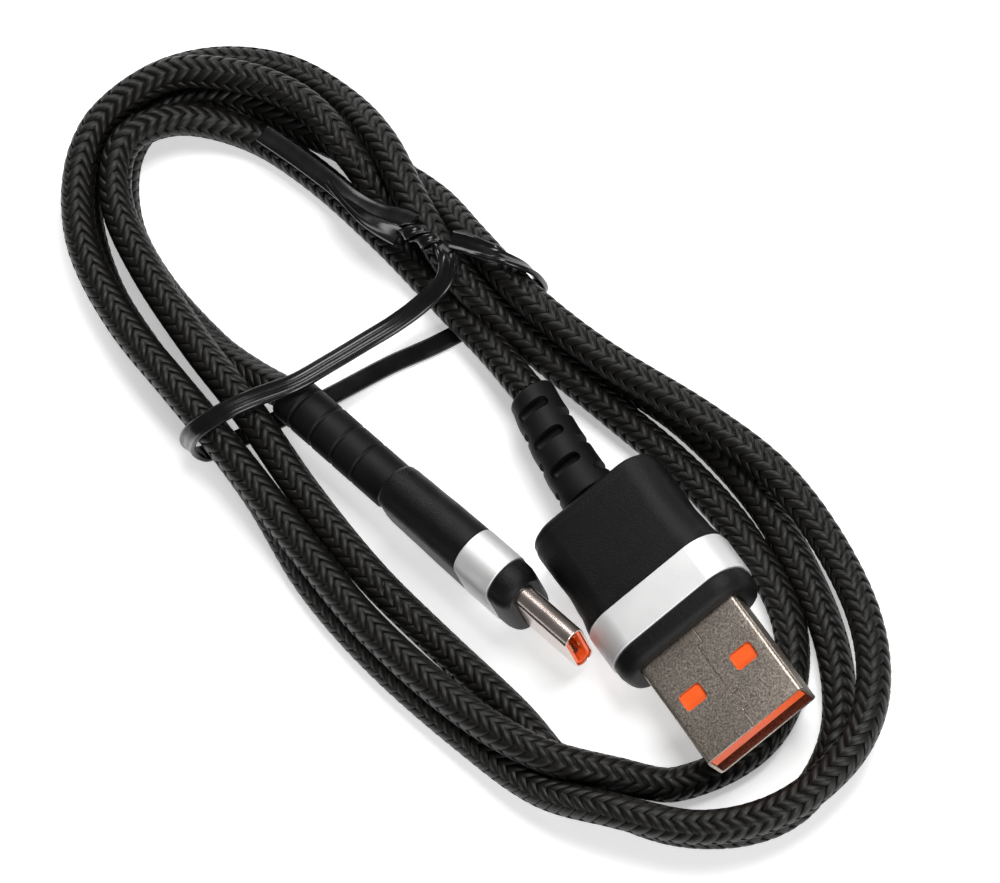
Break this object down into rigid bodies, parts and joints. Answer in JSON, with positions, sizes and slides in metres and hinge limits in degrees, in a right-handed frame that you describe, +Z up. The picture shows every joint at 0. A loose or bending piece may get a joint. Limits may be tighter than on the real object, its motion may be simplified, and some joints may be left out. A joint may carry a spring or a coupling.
{
  "type": "charging cable",
  "caption": "Braided charging and data cable with a flat rectangular plug on one end and a small oval plug on the other, coiled and held by a twist tie.",
  "frame": {"origin": "centre of the bounding box's base, on the surface that the coil lies on", "axes": "+X along the coil from its closed end towards the plug tips, +Y across the coil, +Z up"},
  "size_m": [0.1114, 0.0439, 0.0115],
  "materials": {
    "braided_nylon": "woven filament braid",
    "tie_vinyl": "glossy",
    "relief_rubber": "matt",
    "overmould_black": "fine grain satin",
    "ring_satin_silver": "satin",
    "shell_nickel": "fine brushed nickel",
    "shell_polished": "polished",
    "insulator_orange": "moulded",
    "contact_gold": "gold plated",
    "inner_mould": "as moulded",
    "board_green": "solder mask",
    "wire_red": "extruded",
    "wire_white": "extruded",
    "wire_green": "extruded",
    "wire_black": "extruded"
  },
  "bodies": {
    "coil": {"cord": "braided_nylon", "tie_band": "tie_vinyl", "tie_knot": "tie_vinyl", "tie_long_end": "tie_vinyl", "tie_short_end": "tie_vinyl"},
    "usb_a_plug": {"usb_a_strain_relief": "relief_rubber", "usb_a_overmould": "overmould_black", "usb_a_ring": "ring_satin_silver", "usb_a_nose": "overmould_black", "usb_a_shell": "shell_nickel", "usb_a_insulator": "insulator_orange", "usb_a_contact_1": "contact_gold", "usb_a_contact_2": "contact_gold", "usb_a_contact_3": "contact_gold", "usb_a_contact_4": "contact_gold", "usb_a_inner_mould": "inner_mould", "usb_a_crimp": "shell_nickel", "usb_a_wire_red": "wire_red", "usb_a_wire_white": "wire_white", "usb_a_wire_green": "wire_green", "usb_a_wire_black": "wire_black"},
    "usb_c_plug": {"usb_c_strain_relief": "relief_rubber", "usb_c_overmould": "overmould_black", "usb_c_ring": "ring_satin_silver", "usb_c_nose": "overmould_black", "usb_c_shell": "shell_polished", "usb_c_insulator": "insulator_orange", "usb_c_upper_contact_1": "contact_gold", "usb_c_upper_contact_2": "contact_gold", "usb_c_upper_contact_3": "contact_gold", "usb_c_upper_contact_4": "contact_gold", "usb_c_upper_contact_5": "contact_gold", "usb_c_upper_contact_6": "contact_gold", "usb_c_upper_contact_7": "contact_gold", "usb_c_lower_contact_1": "contact_gold", "usb_c_lower_contact_2": "contact_gold", "usb_c_lower_contact_3": "contact_gold", "usb_c_lower_contact_4": "contact_gold", "usb_c_lower_contact_5": "contact_gold", "usb_c_left_latch": "shell_nickel", "usb_c_right_latch": "shell_nickel", "usb_c_board": "board_green", "usb_c_resistor": "wire_black", "usb_c_rear_shield": "shell_nickel", "usb_c_inner_mould": "inner_mould", "usb_c_crimp": "shell_nickel", "usb_c_wire_red": "wire_red", "usb_c_wire_white": "wire_white", "usb_c_wire_green": "wire_green", "usb_c_wire_black": "wire_black"}
  },
  "joints": [
    {"name": "usb_a_bend", "type": "hinge", "parent": "coil", "child": "usb_a_plug", "pos_m": [0.0034, 0.0086, 0.00495], "axis": [-0.2062, -0.9785, 0], "range_deg": [0, 50], "deforming": ["usb_a_strain_relief"]},
    {"name": "usb_c_bend", "type": "hinge", "parent": "coil", "child": "usb_c_plug", "pos_m": [-0.0153, -0.0066, 0.0057], "axis": [0.0087, -1, 0], "range_deg": [0, 50], "deforming": ["usb_c_strain_relief"]}
  ]
}
